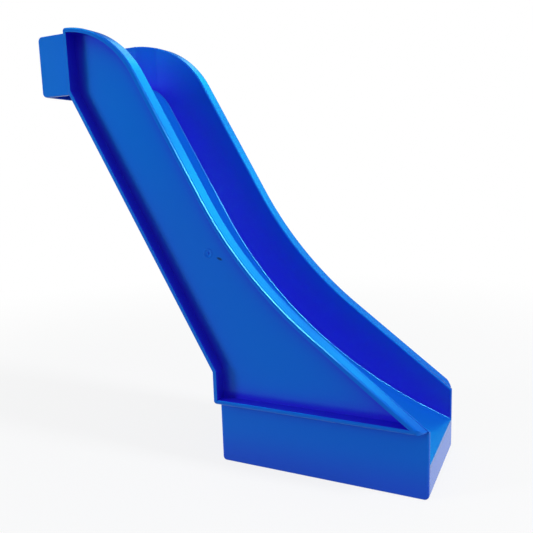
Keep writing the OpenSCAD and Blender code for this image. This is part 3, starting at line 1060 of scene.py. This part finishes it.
class TOYSLIDE_OT_plain_pieces(bpy.types.Operator):
    """Gives the plain pieces of the frame the blue plastic"""

    bl_idname = "toyslide.plain_pieces"
    bl_label = "Plain Pieces"

    def execute(self, context):
        plastic = settings(context)[1]
        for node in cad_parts.values():
            node.data.materials.clear()
            node.data.materials.append(plastic)
        return {"FINISHED"}


class TOYSLIDE_OT_stage(bpy.types.Operator):
    """Sets out the floor, the lamps, the world and the camera"""

    bl_idname = "toyslide.stage"
    bl_label = "Stage"

    def execute(self, context):
        scene = context.scene
        self.floor(scene.slide_finish)
        self.world(scene)
        for lamp in MATT_LAMPS:
            self.lamp(*lamp, glossy=False)
        for lamp in GLOSS_LAMPS:
            self.lamp(*lamp, glossy=True)
        self.keep_line_lamp()
        self.camera(scene)
        scene.view_settings.view_transform = "Standard"
        return {"FINISHED"}

    def floor(self, finish):
        """A matt floor that the camera and the gloss see as near white"""
        bm = bmesh.new()
        bmesh.ops.create_grid(bm, x_segments=1, y_segments=1, size=3)
        floor = placed("Floor", mesh_of(bm, "Floor"))
        material = bpy.data.materials.new("Pale floor")
        material.use_nodes = True
        tree = material.node_tree
        tree.nodes.clear()
        rays = add(tree, "ShaderNodeLightPath").outputs
        seen, glossy = rays["Is Camera Ray"], rays["Is Glossy Ray"]
        place = add(tree, "ShaderNodeTexCoord").outputs["Object"]
        far = vector_maths(tree, "LENGTH", place)
        share = maths(tree, "MULTIPLY", ramp(tree, far, 0.10, 0.34, 0.84, soft=True), seen)
        tint = mixed(tree, seen, finish.bounce, finish.floor)
        matt = add(tree, "ShaderNodeBsdfDiffuse", {"Color": tint})
        glow = add(tree, "ShaderNodeEmission")
        shader = switched(tree, glossy, switched(tree, share, matt, glow), glow)
        add(tree, "ShaderNodeOutputMaterial", {"Surface": shader})
        floor.data.materials.append(material)

    def world(self, scene):
        """A white room for the camera, dimmer for the light and blue for the gloss"""
        world = bpy.data.worlds.new("Studio")
        scene.world = world
        world.use_nodes = True
        tree = world.node_tree
        tree.nodes.clear()
        rays = add(tree, "ShaderNodeLightPath").outputs
        white, room, mirrored = (
            add(tree, "ShaderNodeBackground", {"Color": tint, "Strength": strength})
            for tint, strength in ((WHITE, 1), (WHITE, 0.40), ((0.5, 0.8, 1.0), 0.25))
        )
        unseen = switched(tree, rays["Is Glossy Ray"], room, mirrored)
        shader = switched(tree, rays["Is Camera Ray"], unseen, white)
        add(tree, "ShaderNodeOutputWorld", {"Surface": shader})

    def lamp(self, name, place, target, size, power, tint, glossy):
        """An oval lamp that is either only mirrored or only lights"""
        light = bpy.data.lights.new(name, "AREA")
        light.shape = "ELLIPSE"
        light.size, light.size_y = size
        light.energy = power
        light.color = tint
        lamp = placed(name, light)
        lamp.location = place
        towards = Vector(target) - Vector(place)
        lamp.rotation_euler = towards.to_track_quat("-Z", "Y").to_euler()
        lamp.visible_glossy = glossy
        lamp.visible_diffuse = not glossy

    def keep_line_lamp(self):
        """Lets the line lamp reach only the rails' lips and the bed"""
        lit = bpy.data.collections.new("Rails and bed")
        for name in ("right_rail_lip", "left_rail_lip", "chute_floor"):
            lit.objects.link(bpy.data.objects[name])
        bpy.data.objects["Line lamp"].light_linking.receiver_collection = lit

    def camera(self, scene):
        lens = bpy.data.cameras.new("Camera")
        lens.lens = 41.49
        lens.clip_start = 0.01
        camera = placed("Camera", lens)
        camera.location = (0.0942014, -0.1729742, 0.0898156)
        camera.rotation_euler = [math.radians(turn) for turn in (80.8775, 1.9021, 25.9413)]
        scene.camera = camera


class TOYSLIDE_PT_panel(bpy.types.Panel):
    """Lists the slide's sizes and the operators that build it"""

    bl_idname = "TOYSLIDE_PT_panel"
    bl_label = "Toy Slide"
    bl_space_type = "VIEW_3D"
    bl_region_type = "UI"
    bl_category = "Toy Slide"

    def draw(self, context):
        for group in (context.scene.slide_sizes, context.scene.slide_finish):
            box = self.layout.box()
            for name in group.__annotations__:
                box.prop(group, name)
        for operator in OPERATORS:
            self.layout.operator(operator.bl_idname)


OPERATORS = (
    TOYSLIDE_OT_plain_pieces,
    TOYSLIDE_OT_side_plates,
    TOYSLIDE_OT_framing_ribs,
    TOYSLIDE_OT_chute_bed,
    TOYSLIDE_OT_end_walls,
    TOYSLIDE_OT_hook_cheeks,
    TOYSLIDE_OT_neck_blends,
    TOYSLIDE_OT_clutch,
    TOYSLIDE_OT_gate_mark,
    TOYSLIDE_OT_stage,
)
CLASSES = (SlideSizes, SlideFinish, *OPERATORS, TOYSLIDE_PT_panel)


def register():
    for item in CLASSES:
        bpy.utils.register_class(item)
    bpy.types.Scene.slide_sizes = bpy.props.PointerProperty(type=SlideSizes)
    bpy.types.Scene.slide_finish = bpy.props.PointerProperty(type=SlideFinish)


def unregister():
    del bpy.types.Scene.slide_finish
    del bpy.types.Scene.slide_sizes
    for item in reversed(CLASSES):
        bpy.utils.unregister_class(item)


def main():
    """Builds the slide from first to last"""
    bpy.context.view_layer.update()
    register()
    for operator in OPERATORS:
        group, name = operator.bl_idname.split(".")
        getattr(getattr(bpy.ops, group), name)()


if __name__ == "__main__":
    main()
